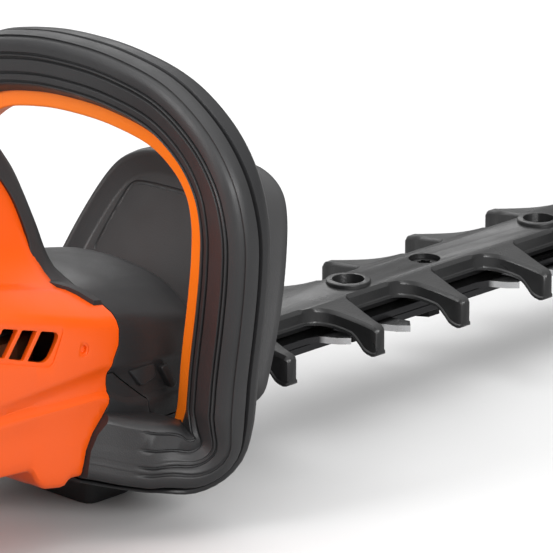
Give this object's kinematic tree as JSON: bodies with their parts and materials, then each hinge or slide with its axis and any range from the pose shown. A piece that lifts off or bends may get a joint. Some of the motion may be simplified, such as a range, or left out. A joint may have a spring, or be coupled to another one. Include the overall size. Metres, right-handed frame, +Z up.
{
  "type": "cordless hedge trimmer",
  "caption": "Cordless hedge trimmer with a loop front handle and bail, hand guard, rear handle with trigger, and a double-sided reciprocating blade under a toothed guard bar.",
  "frame": {"origin": "centre of the front foot's sole, on the surface the trimmer stands on", "axes": "+X forward to the blade's tip, +Y to the operator's left, +Z up"},
  "size_m": [0.883, 0.1504, 0.153],
  "materials": {
    "orange_plastic": "satin moulded",
    "bright_orange_plastic": "satin moulded",
    "dark_plastic": "fine textured",
    "black_plastic": "fine textured",
    "grip_rubber": "soft matt",
    "bar_grey": "grey cast and coated",
    "blade_steel": "ground",
    "black_metal": "black oxide",
    "cast_metal": "as cast",
    "rotor_metal": "plain",
    "cell_metal": "sleeved cells",
    "copper": "enamelled windings",
    "board_green": "lacquered board"
  },
  "bodies": {
    "frame": {"blade_guard_bar": "bar_grey", "blade_support_bar": "blade_steel", "blade_bolt_1": "black_metal", "blade_bolt_2": "black_metal", "blade_bolt_3": "black_metal", "blade_bolt_4": "black_metal", "blade_bolt_5": "black_metal", "blade_bolt_6": "black_metal", "blade_bolt_7": "black_metal", "blade_tip_guard": "dark_plastic", "gear_bearing_lower": "blade_steel", "gear_bearing_upper": "blade_steel", "motor_bearing_lower": "blade_steel", "motor_bearing_upper": "blade_steel", "motor_stator": "copper", "gearbox_casting": "cast_metal", "bar_screw_1": "blade_steel", "bar_screw_2": "blade_steel", "gearbox_lid": "cast_metal", "gear_cover": "dark_plastic", "handle_base": "dark_plastic", "loop_handle_rear": "grip_rubber", "loop_handle_front": "dark_plastic", "hand_guard": "dark_plastic", "housing_right": "orange_plastic", "housing_left": "orange_plastic", "rear_grip": "grip_rubber", "trigger_pin": "blade_steel", "trigger_switch": "black_plastic", "control_panel": "black_plastic", "battery_terminals": "black_plastic", "control_board": "board_green", "front_foot": "grip_rubber", "rear_foot": "grip_rubber"},
    "gear": {"drive_gear": "blade_steel"},
    "motor": {"motor_shaft": "blade_steel", "motor_rotor": "rotor_metal", "drive_pinion": "blade_steel", "cooling_fan": "black_plastic"},
    "upper_blade": {"upper_cutter": "blade_steel"},
    "lower_blade": {"lower_cutter": "blade_steel"},
    "bail": {"front_bail": "bright_orange_plastic"},
    "trigger": {"throttle_trigger": "black_plastic"},
    "lock": {"lock_button": "bright_orange_plastic"},
    "power": {"power_button": "bright_orange_plastic"},
    "battery": {"battery_case": "black_plastic", "battery_cells": "cell_metal"},
    "latch_right": {"battery_latch_right": "bright_orange_plastic"},
    "latch_left": {"battery_latch_left": "bright_orange_plastic"}
  },
  "joints": [
    {"name": "gear_spin", "type": "hinge", "parent": "frame", "child": "gear", "pos_m": [-0.0225, 0, 0.04], "axis": [0, 0, 1], "continuous": true},
    {"name": "motor_spin", "type": "hinge", "parent": "frame", "child": "motor", "pos_m": [-0.0565, 0, 0.04], "axis": [0, 0, 1], "continuous": true},
    {"name": "upper_cutter_slide", "type": "slide", "parent": "frame", "child": "upper_blade", "axis": [1, 0, 0], "range_m": [-0.016, 0]},
    {"name": "lower_cutter_slide", "type": "slide", "parent": "frame", "child": "lower_blade", "axis": [1, 0, 0], "range_m": [0, 0.016]},
    {"name": "bail_slide", "type": "slide", "parent": "frame", "child": "bail", "axis": [0, 0, 1], "range_m": [0, 0.004], "stiffness_N_per_m": 500, "springref_m": -0.002},
    {"name": "trigger_pivot", "type": "hinge", "parent": "frame", "child": "trigger", "pos_m": [-0.108, 0, 0.124], "axis": [0, 1, 0], "range_deg": [0, 10], "stiffness_Nm_per_rad": 0.3, "springref_deg": -5.73},
    {"name": "lock_slide", "type": "slide", "parent": "frame", "child": "lock", "axis": [0, 0, -1], "range_m": [0, 0.003], "stiffness_N_per_m": 300, "springref_m": -0.002},
    {"name": "power_press", "type": "slide", "parent": "frame", "child": "power", "axis": [0.1219, 0, -0.9925], "range_m": [0, 0.0008], "stiffness_N_per_m": 500, "springref_m": -0.0005},
    {"name": "battery_slide", "type": "slide", "parent": "frame", "child": "battery", "axis": [-1, 0, 0], "range_m": [0, 0.1]},
    {"name": "latch_right_press", "type": "slide", "parent": "battery", "child": "latch_right", "axis": [0, 1, 0], "range_m": [0, 0.002], "stiffness_N_per_m": 400, "springref_m": -0.001},
    {"name": "latch_left_press", "type": "slide", "parent": "battery", "child": "latch_left", "axis": [0, -1, 0], "range_m": [0, 0.002], "stiffness_N_per_m": 400, "springref_m": -0.001}
  ],
  "couplings": [
    {"joint": "motor_spin", "follows": "gear_spin", "ratio": -5.8},
    {"joint": "lower_cutter_slide", "follows": "upper_cutter_slide", "ratio": -1}
  ]
}
